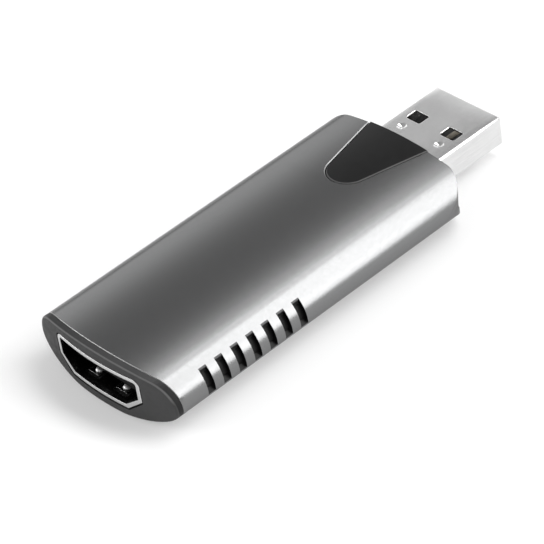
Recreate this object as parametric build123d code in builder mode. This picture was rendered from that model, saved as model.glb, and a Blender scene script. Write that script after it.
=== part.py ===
from build123d import *
import os
from math import asin, atan2, cos, degrees, hypot, radians, sin

os.makedirs("parts", exist_ok=True)

# A video capture dongle, in millimetres. X runs along it towards the plug, Y across
# it and Z up. The origin is on the flat underside, at half the length.

# Outside of the body. The waist is the widest level of the rounded section.
body_width = 26.4
body_length = 55.5
crown_height = 5.2
crown_radius = 50.0
belly_depth = 3.75
foot_cut = 0.2
end_corner_radius = 4.1
face_bow = 2.1
bezel_depth = 1.0
bezel_edge_radius = 0.25

# Sleeve and its vent slots, which a small round cutter opens
sleeve_wall = 0.7
slot_count = 7
slot_spacing = 2.71
slot_width = 1.05
slot_depth = 1.1
slot_cutter_radius = 2.6
slot_tilt = 19.5
first_slot_setback = 8.1

# Tongue of the rear insert, and the notch that it fills
tongue_length = 12.5
tongue_end_width = 11.1
tongue_nose_radius = 3.1
tongue_gap = 0.08
tongue_recess = 0.05
tongue_reach = 0.2

# Bezel skirt and port collar
skirt_gap = 0.05
skirt_length = 2.0
skirt_wall = 0.8
plate_wall = 0.8
collar_wall = 1.0
port_gap = 0.2
port_fit = 0.05

# Rear insert plate
plate_setback = 0.1
rear_plate_depth = 2.0
plug_gap = 0.05

# Video port: sheet shell with a flared lip
port_recess = 0.4
port_drop = 0.225
port_inner_width = 14.1
port_inner_height = 4.5
port_chamfer_width = 2.4
port_chamfer_height = 1.8
port_top_radius = 0.7
port_sheet = 0.3
port_lip_flare = 0.25
port_lip_depth = 0.6
port_length = 11.2
port_block_length = 3.0
port_tongue_width = 11.4
port_tongue_setback = 1.0
upper_contact_count = 10
lower_contact_count = 9
port_contact_spacing = 1.0
port_contact_width = 0.42
port_contact_thickness = 0.15
port_contact_setback = 0.7
port_contact_tail = 1.4

# Retention springs of the port, cut from its top and bottom walls
spring_spread = 5.4
spring_width = 2.0
spring_slit = 0.3
spring_root_gap = 0.8
spring_tip_setback = 1.2
spring_bump_setback = 2.1
spring_bump_drop = 0.5
spring_tip_drop = 0.25

# Solder ears that carry both connectors on the board
ear_reach = 1.4
ear_length = 2.0
ear_thickness = 0.3

# Type A plug
plug_width = 12.0
plug_height = 4.5
plug_sheet = 0.3
plug_corner_radius = 0.4
plug_exposed = 13.6
plug_inset = 5.15
plug_drop = 0.25
latch_hole_width = 2.5
latch_hole_length = 1.95
latch_hole_corner = 0.2
latch_hole_setback = 6.7
latch_hole_spread = 6.4
dimple_setback = 9.35
dimple_spread = 7.0
dimple_radius = 0.62
dimple_depth = 0.16
plug_block_length = 5.6
plug_tongue_setback = 0.7
plug_contact_width = 1.0
plug_contact_thickness = 0.2
plug_contact_stand = 0.1
plug_contact_inner_spread = 2.0
plug_contact_outer_spread = 7.0
plug_contact_inner_setback = 2.2
plug_contact_outer_setback = 1.2
plug_contact_tail = 2.0

# Board and liner
board_thickness = 1.0
board_side_gap = 0.5
board_corner_radius = 0.8
board_end_gap = 0.3
notch_gap = 0.1
port_arm_length = 4.2
liner_gap = 0.05
liner_wall = 0.55
liner_end_gap = 0.3
rail_height = 0.9
rail_grip = 0.5
rail_fit = 0.02
peg_radius = 0.75
peg_fit = 0.05
peg_boss_radius = 1.5
peg_stand = 0.5
peg_setback = 2.4
peg_place_shares = (0.30, 0.80)

# Capture chip and its thermal pad
chip_side = 7.0
chip_height = 1.4
chip_stand = 0.1
chip_place_share = 0.43
chip_lead_count = 12
chip_lead_spacing = 0.5
chip_lead_width = 0.22
chip_lead_reach = 1.0
lead_thickness = 0.15
lead_shoulder_share = 0.4
pad_inset = 0.4
pad_window_gap = 0.4

# Smaller parts on the board. Each place is a share of the length between the port
# and the plug, and a share of the board's half width.
flash_length = 4.9
flash_width = 3.9
flash_height = 1.4
flash_lead_spacing = 1.27
flash_lead_count = 4
flash_lead_width = 0.4
flash_lead_reach = 1.0
flash_place_share = (0.178, -0.55)
regulator_length = 2.9
regulator_width = 1.6
regulator_height = 1.1
regulator_lead_spacing = 0.95
regulator_lead_count = 3
regulator_lead_width = 0.4
regulator_lead_reach = 0.6
regulator_place_shares = ((0.69, -0.62), (0.69, -0.16), (0.69, 0.60))
inductor_side = 3.0
inductor_height = 1.5
inductor_corner = 0.4
inductor_place_shares = ((0.80, -0.36), (0.80, 0.22))
crystal_length = 3.2
crystal_width = 2.5
crystal_height = 0.8
crystal_corner = 0.3
crystal_place_share = (0.20, 0.52)
esd_length = 2.5
esd_width = 1.0
esd_height = 0.5
esd_count = 4
esd_spacing = 3.6
esd_place_share = 0.07
chip_part_length = 1.0
chip_part_width = 0.5
capacitor_height = 0.5
resistor_height = 0.35
resistor_rows = 3
resistor_spacing = 1.1
resistor_place_shares = ((0.115, 0.36), (0.115, -0.02), (0.88, 0.0))
capacitor_rows = 4
capacitor_spacing = 1.3

# Columns of capacitors keep a gap to the chip's leads. Each place is the side of
# the chip, as a share of the column's offset, and a share of the half width.
capacitor_gap = 0.4
capacitor_place_shares = ((-1, 0.10), (1, -0.38), (1, 0.38))
under_rows = 3
under_columns = 4
under_spacing = 2.0

# One overrun for every cut
overrun = 1.0

# Levels
waist_z = belly_depth - foot_cut
body_height = waist_z + crown_height
port_z = body_height / 2 - port_drop
plug_z = port_z - plug_drop
board_top_z = port_z + board_thickness / 2
board_bottom_z = port_z - board_thickness / 2

# Stations along X
overall_length = body_length + plug_exposed
face_x = -overall_length / 2
rim_x = face_x + bezel_depth
port_x = face_x + port_recess
sleeve_end_x = face_x + body_length
tip_x = overall_length / 2
skirt_end_x = rim_x + face_bow + skirt_length
plate_back_x = sleeve_end_x - plate_setback
plate_front_x = plate_back_x - rear_plate_depth
port_back_x = port_x + port_length
plug_tail_x = sleeve_end_x - plug_inset
liner_front_x = skirt_end_x + liner_end_gap
board_back_x = plate_front_x - board_end_gap
board_length = board_back_x - port_back_x
board_width = body_width - 2 * (sleeve_wall + liner_gap + liner_wall + board_side_gap)
peg_spread = board_width - 2 * peg_setback
half_width = body_width / 2


def along(share):
    return port_back_x + share * (plug_tail_x - port_back_x)


def across(share):
    return share * board_width / 2


def section_face(inset=0, mode=Mode.ADD):
    """Body section in a YZ sketch: crown arc, shoulder arcs, half ellipse with a flat."""
    half = half_width - inset
    top = crown_height - inset
    bottom = belly_depth - inset
    crown = crown_radius - inset
    shoulder = (2 * crown * top - half**2 - top**2) / (2 * (crown - half))
    shoulder_y = half - shoulder
    crown_z = waist_z + top - crown
    lean = degrees(atan2(shoulder_y, waist_z - crown_z))
    foot_turn = degrees(asin((waist_z - inset) / bottom))
    foot_y = half * cos(radians(foot_turn))
    with BuildSketch() as section:
        with BuildLine():
            CenterArc((0, crown_z), crown, 90 - lean, 2 * lean)
            CenterArc((shoulder_y, waist_z), shoulder, 0, 90 - lean)
            CenterArc((-shoulder_y, waist_z), shoulder, 90 + lean, 90 - lean)
            EllipticalCenterArc((0, waist_z), half, bottom, 180, arc_size=foot_turn)
            Line((-foot_y, inset), (foot_y, inset))
            EllipticalCenterArc((0, waist_z), half, bottom, -foot_turn, arc_size=foot_turn)
        make_face()
    add(section.sketch_local, mode=mode)


def plan_face(front_x, rear_x, inset=0):
    """Body plan in an XY sketch: bowed front edge, rounded rear corners."""
    half = half_width - inset
    bow_x = front_x + face_bow
    with BuildSketch() as plan:
        with BuildLine():
            ThreePointArc((bow_x, -half), (front_x, 0), (bow_x, half))
            Polyline((bow_x, half), (rear_x, half), (rear_x, -half), (bow_x, -half))
        make_face()
        fillet(plan.vertices().group_by(Axis.X)[-1], radius=end_corner_radius - inset)
    add(plan.sketch_local)


def tongue_face(gap=0):
    """Plan of the tongue in an XY sketch: two straight edges tangent to a round nose."""
    nose = tongue_nose_radius + gap
    half_end = tongue_end_width / 2 + gap
    nose_x = sleeve_end_x - tongue_length + tongue_nose_radius
    end_x = sleeve_end_x - nose_x
    slope = atan2(half_end, end_x) - asin(nose / hypot(half_end, end_x))
    rear_x = sleeve_end_x + overrun
    half_rear = half_end + overrun * sin(slope) / cos(slope)
    touch_x = nose_x - nose * sin(slope)
    touch_y = nose * cos(slope)
    with BuildSketch() as tongue:
        with BuildLine():
            ThreePointArc((touch_x, -touch_y), (nose_x - nose, 0), (touch_x, touch_y))
            Polyline(
                (touch_x, touch_y),
                (rear_x, half_rear),
                (rear_x, -half_rear),
                (touch_x, -touch_y),
            )
        make_face()
    add(tongue.sketch_local)


def port_face(grow=0, mode=Mode.ADD):
    """Port opening in a YZ sketch, with its cut lower corners, grown by the same all round."""
    half = port_inner_width / 2 + grow
    top = port_z + port_inner_height / 2 + grow
    low = port_z - port_inner_height / 2 - grow
    slant = atan2(port_chamfer_height, port_chamfer_width)
    corner_y = port_chamfer_width + grow * (1 - cos(slant)) / sin(slant)
    corner_z = port_chamfer_height + grow * (1 - sin(slant)) / cos(slant)
    with BuildSketch() as port:
        with BuildLine():
            Polyline(
                (-half, top),
                (-half, low + corner_z),
                (-half + corner_y, low),
                (half - corner_y, low),
                (half, low + corner_z),
                (half, top),
                close=True,
            )
        make_face()
        fillet(port.vertices().group_by(Axis.Y)[-1], radius=port_top_radius + grow)
    add(port.sketch_local, mode=mode)


def plug_face(grow=0, mode=Mode.ADD):
    """Plug section in a YZ sketch."""
    with Locations((0, plug_z)):
        RectangleRounded(
            plug_width + 2 * grow, plug_height + 2 * grow, plug_corner_radius + grow, mode=mode
        )


def board_plane(share, level):
    return Plane.XY.offset(level).move(Location((along(share), 0, 0)))


def port_contact_row(count, level, align, mode=Mode.ADD):
    """A row of straight contacts on one face of the port's tongue, with tails on the board."""
    front_x = port_x + port_tongue_setback + port_contact_setback
    length = port_back_x + port_contact_tail - front_x
    with Locations((front_x, 0, level)):
        with GridLocations(0, port_contact_spacing, 1, count):
            Box(
                length,
                port_contact_width,
                port_contact_thickness,
                align=(Align.MIN, Align.CENTER, align),
                mode=mode,
            )


def plug_contact_row(spread, setback, mode=Mode.ADD):
    """A pair of plug contacts, whose tails lie under the board."""
    front_x = tip_x - setback
    length = front_x - plug_tail_x + plug_contact_tail
    with Locations((front_x, 0, board_bottom_z)):
        with GridLocations(0, spread, 1, 2):
            Box(
                length,
                plug_contact_width,
                plug_contact_thickness,
                align=(Align.MAX, Align.CENTER, Align.MAX),
                mode=mode,
            )


def lead_face(reach, case_height, stand):
    """Side view of a gull-wing lead in an XZ sketch: shoulder, riser and foot."""
    middle = stand + case_height / 2
    knee = reach * lead_shoulder_share
    with BuildSketch() as lead:
        with BuildLine():
            Polyline(
                (0, middle - lead_thickness / 2),
                (knee - lead_thickness, middle - lead_thickness / 2),
                (knee - lead_thickness, 0),
                (reach, 0),
                (reach, lead_thickness),
                (knee, lead_thickness),
                (knee, middle + lead_thickness / 2),
                (0, middle + lead_thickness / 2),
                close=True,
            )
        make_face()
    add(lead.sketch_local)


def finish(piece, name):
    piece.part.label = name
    export_step(piece.part, f"parts/{name}.step")


# Sleeve
shoulder_radius = (2 * crown_radius * crown_height - half_width**2 - crown_height**2) / (
    2 * (crown_radius - half_width)
)
cutter_reach = shoulder_radius + slot_cutter_radius - slot_depth
cutter_y = half_width - shoulder_radius + cutter_reach * cos(radians(slot_tilt))
cutter_z = waist_z + cutter_reach * sin(radians(slot_tilt))

with BuildPart() as sleeve:
    with BuildSketch(Plane.YZ.offset(face_x)):
        section_face()
    extrude(amount=body_length)
    with BuildSketch():
        plan_face(rim_x, sleeve_end_x)
    extrude(amount=body_height, mode=Mode.INTERSECT)
    with BuildSketch(Plane.YZ.offset(face_x)):
        section_face(sleeve_wall)
    extrude(amount=body_length, mode=Mode.SUBTRACT)
    for index in range(slot_count):
        slot_x = face_x + first_slot_setback + index * slot_spacing
        with BuildSketch(Plane.YZ.offset(slot_x - slot_width / 2)):
            with Locations((-cutter_y, cutter_z), (cutter_y, cutter_z)):
                Circle(slot_cutter_radius)
        extrude(amount=slot_width, mode=Mode.SUBTRACT)
    with BuildSketch(Plane.XY.offset(waist_z)):
        tongue_face(tongue_gap)
    extrude(amount=crown_height + overrun, mode=Mode.SUBTRACT)
finish(sleeve, "sleeve")

# Room that the sleeve takes round the bezel's skirt
with BuildPart() as skirt_room:
    with BuildSketch(Plane.YZ.offset(face_x)):
        section_face(-overrun)
    extrude(amount=body_length)
    with BuildSketch(Plane.XY.offset(-overrun)):
        plan_face(rim_x, sleeve_end_x, -overrun)
    extrude(amount=body_height + 2 * overrun, mode=Mode.INTERSECT)
    with BuildSketch(Plane.YZ.offset(face_x)):
        section_face(sleeve_wall + skirt_gap)
    extrude(amount=body_length, mode=Mode.SUBTRACT)

# Front bezel: bowed face plate, skirt inside the sleeve and collar round the port
with BuildPart() as front_bezel:
    with BuildSketch(Plane.YZ.offset(face_x)):
        section_face()
    extrude(amount=skirt_end_x - face_x)
    with BuildSketch():
        plan_face(face_x, sleeve_end_x)
    extrude(amount=body_height, mode=Mode.INTERSECT)
    fillet(front_bezel.faces().sort_by(Axis.X)[0].edges(), radius=bezel_edge_radius)
    add(skirt_room.part, mode=Mode.SUBTRACT)
    with BuildSketch(Plane.YZ.offset(face_x + face_bow + plate_wall)):
        section_face(sleeve_wall + skirt_gap + skirt_wall)
        port_face(port_sheet + port_gap + collar_wall, Mode.SUBTRACT)
    extrude(amount=skirt_end_x - face_x, mode=Mode.SUBTRACT)
    with BuildSketch(Plane.YZ.offset(face_x)):
        port_face(port_sheet + port_lip_flare + port_gap)
    extrude(amount=port_recess + port_lip_depth + port_gap, mode=Mode.SUBTRACT)
    with BuildSketch(Plane.YZ.offset(face_x)):
        port_face(port_sheet + port_fit)
    extrude(amount=skirt_end_x - face_x, mode=Mode.SUBTRACT)
finish(front_bezel, "front_bezel")

# Rear insert: the tongue lies on the liner and joins a plate in the sleeve's end
roof_inset = sleeve_wall + liner_gap

with BuildPart() as tongue:
    with BuildSketch(Plane.XY.offset(waist_z)):
        tongue_face()
    extrude(amount=crown_height)
    with BuildSketch(Plane.YZ.offset(face_x)):
        section_face(tongue_recess)
    extrude(amount=body_length + tongue_reach, mode=Mode.INTERSECT)
    with BuildSketch(Plane.YZ.offset(face_x)):
        section_face(roof_inset)
    extrude(amount=body_length + overrun, mode=Mode.SUBTRACT)

with BuildPart() as rear_insert:
    with BuildSketch(Plane.YZ.offset(plate_front_x)):
        section_face(roof_inset)
    extrude(amount=rear_plate_depth)
    with BuildSketch():
        plan_face(face_x, plate_back_x)
    extrude(amount=body_height, mode=Mode.INTERSECT)
    with BuildSketch(Plane.YZ.offset(plate_front_x)):
        plug_face(plug_gap)
    extrude(amount=rear_plate_depth, mode=Mode.SUBTRACT)
    add(tongue.part)
finish(rear_insert, "rear_insert")


def liner_half(upper):
    """Ring section of one liner half in a YZ sketch, with the rails that grip the board."""
    hand_z = 1 if upper else -1
    rail_y = board_width / 2 - rail_grip
    rail_z = port_z + hand_z * (board_thickness / 2 + rail_fit)
    away = Align.MIN if upper else Align.MAX
    back = Align.MAX if upper else Align.MIN
    section_face(roof_inset)
    section_face(roof_inset + liner_wall, Mode.SUBTRACT)
    with Locations((rail_y, rail_z)):
        Rectangle(half_width, rail_height, align=(Align.MIN, away))
    with Locations((-rail_y, rail_z)):
        Rectangle(half_width, rail_height, align=(Align.MAX, away))
    section_face(roof_inset, Mode.INTERSECT)
    with Locations((0, port_z)):
        Rectangle(body_width, body_height, align=(Align.CENTER, back), mode=Mode.SUBTRACT)


liner_length = plate_front_x - liner_front_x
chip_x = along(chip_place_share)
pad_side = chip_side - 2 * pad_inset

# Inner cover, with the window for the thermal pad
with BuildPart() as inner_cover:
    with BuildSketch(Plane.YZ.offset(liner_front_x)):
        liner_half(True)
    extrude(amount=liner_length)
    with BuildSketch(Plane.YZ.offset(liner_front_x)):
        port_face(port_sheet + port_fit)
    extrude(amount=port_back_x - liner_front_x + port_fit, mode=Mode.SUBTRACT)
    with BuildSketch(Plane.XY.offset(board_top_z)):
        with Locations((port_back_x - ear_length / 2, 0)):
            Rectangle(
                ear_length + 2 * port_fit,
                port_inner_width + 2 * (port_sheet + ear_reach + port_fit),
            )
    extrude(amount=ear_thickness + port_fit, mode=Mode.SUBTRACT)
    with BuildSketch(board_plane(chip_place_share, board_top_z)):
        Rectangle(pad_side + 2 * pad_window_gap, pad_side + 2 * pad_window_gap)
    extrude(amount=body_height, mode=Mode.SUBTRACT)
    with BuildSketch(Plane.YZ.offset(plug_tail_x - plug_gap)):
        plug_face(plug_gap)
    extrude(amount=plug_inset, mode=Mode.SUBTRACT)
finish(inner_cover, "inner_cover")

# Inner tray, with the bosses and pegs that locate the board
with BuildPart() as inner_tray:
    with BuildSketch(Plane.YZ.offset(liner_front_x)):
        liner_half(False)
    extrude(amount=liner_length)
    for share in peg_place_shares:
        with BuildSketch(board_plane(share, 0)):
            with GridLocations(0, peg_spread, 1, 2):
                Circle(peg_boss_radius)
        extrude(amount=board_bottom_z)
        with BuildSketch(board_plane(share, 0)):
            with GridLocations(0, peg_spread, 1, 2):
                Circle(peg_radius)
        extrude(amount=board_top_z + peg_stand)
    with BuildSketch(Plane.YZ.offset(liner_front_x)):
        section_face(roof_inset)
    extrude(amount=liner_length, mode=Mode.INTERSECT)
    with BuildSketch(Plane.YZ.offset(liner_front_x)):
        port_face(port_sheet + port_fit)
    extrude(amount=port_back_x - liner_front_x + port_fit, mode=Mode.SUBTRACT)
    with BuildSketch(Plane.YZ.offset(plug_tail_x - plug_gap)):
        plug_face(plug_gap)
    extrude(amount=plug_inset, mode=Mode.SUBTRACT)
finish(inner_tray, "inner_tray")

# Circuit board, notched for the port at one end and for the plug at the other
port_notch_width = port_inner_width + 2 * (port_sheet + notch_gap)
plug_notch_length = board_back_x - plug_tail_x + notch_gap

with BuildPart() as circuit_board:
    with BuildSketch(Plane.XY.offset(board_bottom_z)) as board_sketch:
        with Locations((board_back_x, 0)):
            Rectangle(
                board_length + port_arm_length, board_width, align=(Align.MAX, Align.CENTER)
            )
        fillet(board_sketch.vertices(), radius=board_corner_radius)
        with Locations((port_back_x, 0)):
            Rectangle(
                port_arm_length + overrun,
                port_notch_width,
                align=(Align.MAX, Align.CENTER),
                mode=Mode.SUBTRACT,
            )
        with Locations((board_back_x - plug_notch_length, 0)):
            Rectangle(
                plug_notch_length + overrun,
                plug_width + 2 * notch_gap,
                align=(Align.MIN, Align.CENTER),
                mode=Mode.SUBTRACT,
            )
        for share in peg_place_shares:
            with Locations((along(share), 0)):
                with GridLocations(0, peg_spread, 1, 2):
                    Circle(peg_radius + peg_fit, mode=Mode.SUBTRACT)
    extrude(amount=board_thickness)
finish(circuit_board, "circuit_board")

# Video port shell, with its lip, four springs and two solder ears
spring_root_x = port_back_x - port_block_length - spring_root_gap
spring_tip_x = port_x + spring_tip_setback
spring_bump_x = port_x + spring_bump_setback
port_half_height = port_inner_height / 2

with BuildPart() as port_shell:
    with BuildSketch(Plane.YZ.offset(port_x)):
        port_face(port_sheet)
    extrude(amount=port_length)
    with BuildSketch(Plane.YZ.offset(port_x)):
        port_face(port_sheet + port_lip_flare)
    extrude(amount=port_lip_depth)
    with BuildSketch(Plane.YZ.offset(port_x)):
        port_face()
    extrude(amount=port_length, mode=Mode.SUBTRACT)
    with BuildSketch(Plane.XY.offset(port_z)):
        with Locations((spring_root_x, -spring_spread / 2), (spring_root_x, spring_spread / 2)):
            Rectangle(
                spring_root_x - spring_tip_x + spring_slit,
                spring_width + 2 * spring_slit,
                align=(Align.MAX, Align.CENTER),
            )
    extrude(amount=port_inner_height, both=True, mode=Mode.SUBTRACT)
    for hand_z in (-1, 1):
        wall_z = port_z + hand_z * port_half_height
        for hand_y in (-1, 1):
            with BuildSketch(Plane.XZ.offset(hand_y * spring_spread / 2)):
                with BuildLine():
                    Polyline(
                        (spring_root_x, wall_z),
                        (spring_bump_x, wall_z - hand_z * spring_bump_drop),
                        (spring_tip_x, wall_z - hand_z * spring_tip_drop),
                        (spring_tip_x, wall_z - hand_z * (spring_tip_drop - port_sheet)),
                        (spring_bump_x, wall_z - hand_z * (spring_bump_drop - port_sheet)),
                        (spring_root_x, wall_z + hand_z * port_sheet),
                        close=True,
                    )
                make_face()
            extrude(amount=spring_width / 2, both=True)
    with BuildSketch(Plane.XY.offset(board_top_z)):
        with Locations((port_back_x, 0)):
            Rectangle(
                ear_length,
                port_inner_width + 2 * (port_sheet + ear_reach),
                align=(Align.MAX, Align.CENTER),
            )
            Rectangle(
                ear_length,
                port_inner_width + 2 * port_sheet,
                align=(Align.MAX, Align.CENTER),
                mode=Mode.SUBTRACT,
            )
    extrude(amount=ear_thickness)
finish(port_shell, "port_shell")

# Contacts of the port, over and under its tongue
with BuildPart() as port_contacts_upper:
    port_contact_row(upper_contact_count, board_top_z, Align.MIN)
finish(port_contacts_upper, "port_contacts_upper")

with BuildPart() as port_contacts_lower:
    port_contact_row(lower_contact_count, board_bottom_z, Align.MAX)
finish(port_contacts_lower, "port_contacts_lower")

# Port insulator: a block in the back of the shell, with the tongue level with the board
with BuildPart() as port_insulator:
    with BuildSketch(Plane.YZ.offset(port_back_x - port_block_length)):
        port_face()
    extrude(amount=port_block_length)
    with BuildSketch(Plane.XY.offset(board_bottom_z)):
        with Locations((port_back_x, 0)):
            Rectangle(
                port_length - port_tongue_setback,
                port_tongue_width,
                align=(Align.MAX, Align.CENTER),
            )
    extrude(amount=board_thickness)
    port_contact_row(upper_contact_count, board_top_z, Align.MIN, Mode.SUBTRACT)
    port_contact_row(lower_contact_count, board_bottom_z, Align.MAX, Mode.SUBTRACT)
finish(port_insulator, "port_insulator")

# Plug shell, with latch holes through both walls, stamped dimples and solder ears
dimple_ball_radius = (dimple_radius**2 + dimple_depth**2) / (2 * dimple_depth)
dimple_ball_z = plug_z + plug_height / 2 + dimple_ball_radius - dimple_depth

with BuildPart() as plug_shell:
    with BuildSketch(Plane.YZ.offset(plug_tail_x)):
        plug_face()
        plug_face(-plug_sheet, Mode.SUBTRACT)
    extrude(amount=tip_x - plug_tail_x)
    with BuildSketch(Plane.XY.offset(plug_z)):
        with Locations((tip_x - latch_hole_setback, 0)):
            with GridLocations(0, latch_hole_spread, 1, 2):
                RectangleRounded(latch_hole_length, latch_hole_width, latch_hole_corner)
    extrude(amount=plug_height, both=True, mode=Mode.SUBTRACT)
    with Locations((tip_x - dimple_setback, 0, dimple_ball_z)):
        with GridLocations(0, dimple_spread, 1, 2):
            Sphere(dimple_ball_radius, mode=Mode.SUBTRACT)
    with BuildSketch(Plane.XY.offset(board_top_z)):
        with Locations((plug_tail_x + notch_gap, 0)):
            Rectangle(
                ear_length, plug_width + 2 * ear_reach, align=(Align.MIN, Align.CENTER)
            )
            Rectangle(
                ear_length,
                plug_width,
                align=(Align.MIN, Align.CENTER),
                mode=Mode.SUBTRACT,
            )
    extrude(amount=ear_thickness)
finish(plug_shell, "plug_shell")

# Contacts of the plug
with BuildPart() as plug_contacts:
    plug_contact_row(plug_contact_inner_spread, plug_contact_inner_setback)
    plug_contact_row(plug_contact_outer_spread, plug_contact_outer_setback)
finish(plug_contacts, "plug_contacts")

# Plug insulator: a block in the back of the shell, with a tongue along its floor
with BuildPart() as plug_insulator:
    with BuildSketch(Plane.YZ.offset(plug_tail_x)):
        plug_face(-plug_sheet)
    extrude(amount=plug_block_length)
    with BuildSketch(Plane.YZ.offset(plug_tail_x)):
        plug_face(-plug_sheet)
        with Locations((0, board_bottom_z - plug_contact_stand)):
            Rectangle(
                plug_width, plug_height, align=(Align.CENTER, Align.MIN), mode=Mode.SUBTRACT
            )
    extrude(amount=tip_x - plug_tongue_setback - plug_tail_x)
    plug_contact_row(plug_contact_inner_spread, plug_contact_inner_setback, Mode.SUBTRACT)
    plug_contact_row(plug_contact_outer_spread, plug_contact_outer_setback, Mode.SUBTRACT)
finish(plug_insulator, "plug_insulator")

# Capture chip and its leads
with BuildPart() as capture_chip:
    with BuildSketch(board_plane(chip_place_share, board_top_z + chip_stand)):
        Rectangle(chip_side, chip_side)
    extrude(amount=chip_height)
finish(capture_chip, "capture_chip")

with BuildPart() as chip_lead:
    with BuildSketch(Plane.XZ):
        lead_face(chip_lead_reach, chip_height, chip_stand)
    extrude(amount=chip_lead_width / 2, both=True)

with BuildPart() as capture_chip_leads:
    for quarter in range(4):
        with Locations(Location((chip_x, 0, board_top_z), (0, 0, 90 * quarter))):
            with Locations((chip_side / 2, 0, 0)):
                with GridLocations(0, chip_lead_spacing, 1, chip_lead_count):
                    add(chip_lead.part)
finish(capture_chip_leads, "capture_chip_leads")

# Thermal pad between the chip and the sleeve's roof
with BuildPart() as thermal_pad:
    with BuildSketch(board_plane(chip_place_share, board_top_z + chip_stand + chip_height)):
        Rectangle(pad_side, pad_side)
    extrude(amount=body_height)
    with BuildSketch(Plane.YZ.offset(face_x)):
        section_face(sleeve_wall)
    extrude(amount=body_length, mode=Mode.INTERSECT)
finish(thermal_pad, "thermal_pad")

# Flash chip and its leads
flash_x = along(flash_place_share[0])
flash_y = across(flash_place_share[1])

with BuildPart() as flash_chip:
    with BuildSketch(Plane.XY.offset(board_top_z + chip_stand)):
        with Locations((flash_x, flash_y)):
            Rectangle(flash_length, flash_width)
    extrude(amount=flash_height)
finish(flash_chip, "flash_chip")

with BuildPart() as flash_lead:
    with BuildSketch(Plane.XZ):
        lead_face(flash_lead_reach, flash_height, chip_stand)
    extrude(amount=flash_lead_width / 2, both=True)

with BuildPart() as flash_chip_leads:
    for turn in (-90, 90):
        with Locations(Location((flash_x, flash_y, board_top_z), (0, 0, turn))):
            with Locations((flash_width / 2, 0, 0)):
                with GridLocations(0, flash_lead_spacing, 1, flash_lead_count):
                    add(flash_lead.part)
finish(flash_chip_leads, "flash_chip_leads")

# Voltage regulators and their leads
with BuildPart() as voltage_regulators:
    with BuildSketch(Plane.XY.offset(board_top_z + chip_stand)):
        for place in regulator_place_shares:
            with Locations((along(place[0]), across(place[1]))):
                Rectangle(regulator_length, regulator_width)
    extrude(amount=regulator_height)
finish(voltage_regulators, "voltage_regulators")

with BuildPart() as regulator_lead:
    with BuildSketch(Plane.XZ):
        lead_face(regulator_lead_reach, regulator_height, chip_stand)
    extrude(amount=regulator_lead_width / 2, both=True)

with BuildPart() as regulator_leads:
    for place in regulator_place_shares:
        centre = (along(place[0]), across(place[1]), board_top_z)
        for turn in (-90, 90):
            with Locations(Location(centre, (0, 0, turn))):
                with Locations((regulator_width / 2, 0, 0)):
                    with GridLocations(0, regulator_lead_spacing, 1, regulator_lead_count):
                        add(regulator_lead.part)
finish(regulator_leads, "regulator_leads")

# Power inductors
with BuildPart() as power_inductors:
    with BuildSketch(Plane.XY.offset(board_top_z)):
        for place in inductor_place_shares:
            with Locations((along(place[0]), across(place[1]))):
                RectangleRounded(inductor_side, inductor_side, inductor_corner)
    extrude(amount=inductor_height)
finish(power_inductors, "power_inductors")

# Crystal
with BuildPart() as crystal:
    with BuildSketch(Plane.XY.offset(board_top_z)):
        with Locations((along(crystal_place_share[0]), across(crystal_place_share[1]))):
            RectangleRounded(crystal_length, crystal_width, crystal_corner)
    extrude(amount=crystal_height)
finish(crystal, "crystal")

# Surge protection arrays in a row behind the port
with BuildPart() as esd_arrays:
    with BuildSketch(board_plane(esd_place_share, board_top_z)):
        with GridLocations(0, esd_spacing, 1, esd_count):
            Rectangle(esd_width, esd_length)
    extrude(amount=esd_height)
finish(esd_arrays, "esd_arrays")

# Chip capacitors in columns on the top of the board, and a block of them under the chip
column_offset = chip_side / 2 + chip_lead_reach + capacitor_gap + chip_part_length / 2

with BuildPart() as chip_capacitors:
    with BuildSketch(Plane.XY.offset(board_top_z)):
        for place in capacitor_place_shares:
            with Locations((chip_x + place[0] * column_offset, across(place[1]))):
                with GridLocations(0, capacitor_spacing, 1, capacitor_rows):
                    Rectangle(chip_part_length, chip_part_width)
    extrude(amount=capacitor_height)
    with BuildSketch(board_plane(chip_place_share, board_bottom_z)):
        with GridLocations(under_spacing, under_spacing, under_rows, under_columns):
            Rectangle(chip_part_length, chip_part_width)
    extrude(amount=-capacitor_height)
finish(chip_capacitors, "chip_capacitors")

# Chip resistors
with BuildPart() as chip_resistors:
    with BuildSketch(Plane.XY.offset(board_top_z)):
        for place in resistor_place_shares:
            with Locations((along(place[0]), across(place[1]))):
                with GridLocations(0, resistor_spacing, 1, resistor_rows):
                    Rectangle(chip_part_length, chip_part_width)
    extrude(amount=resistor_height)
finish(chip_resistors, "chip_resistors")
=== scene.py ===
from math import asin, atan2, copysign, cos, hypot, pi, radians, sin, tan

import bmesh
import bpy
import numpy as np
from mathutils import Matrix


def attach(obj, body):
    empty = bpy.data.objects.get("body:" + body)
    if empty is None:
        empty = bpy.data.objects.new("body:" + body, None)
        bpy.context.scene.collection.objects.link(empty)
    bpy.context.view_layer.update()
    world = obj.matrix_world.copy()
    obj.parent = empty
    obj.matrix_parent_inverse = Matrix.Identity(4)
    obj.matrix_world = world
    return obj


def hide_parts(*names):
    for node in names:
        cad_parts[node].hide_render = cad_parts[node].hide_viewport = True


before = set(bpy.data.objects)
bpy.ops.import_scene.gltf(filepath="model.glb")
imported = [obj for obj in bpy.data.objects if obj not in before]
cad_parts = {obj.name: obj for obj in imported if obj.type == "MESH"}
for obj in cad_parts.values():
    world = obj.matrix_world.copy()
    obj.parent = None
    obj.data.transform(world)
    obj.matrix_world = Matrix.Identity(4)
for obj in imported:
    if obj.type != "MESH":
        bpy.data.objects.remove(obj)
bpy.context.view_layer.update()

# Sizes, in millimetres
MM = 0.001

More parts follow.
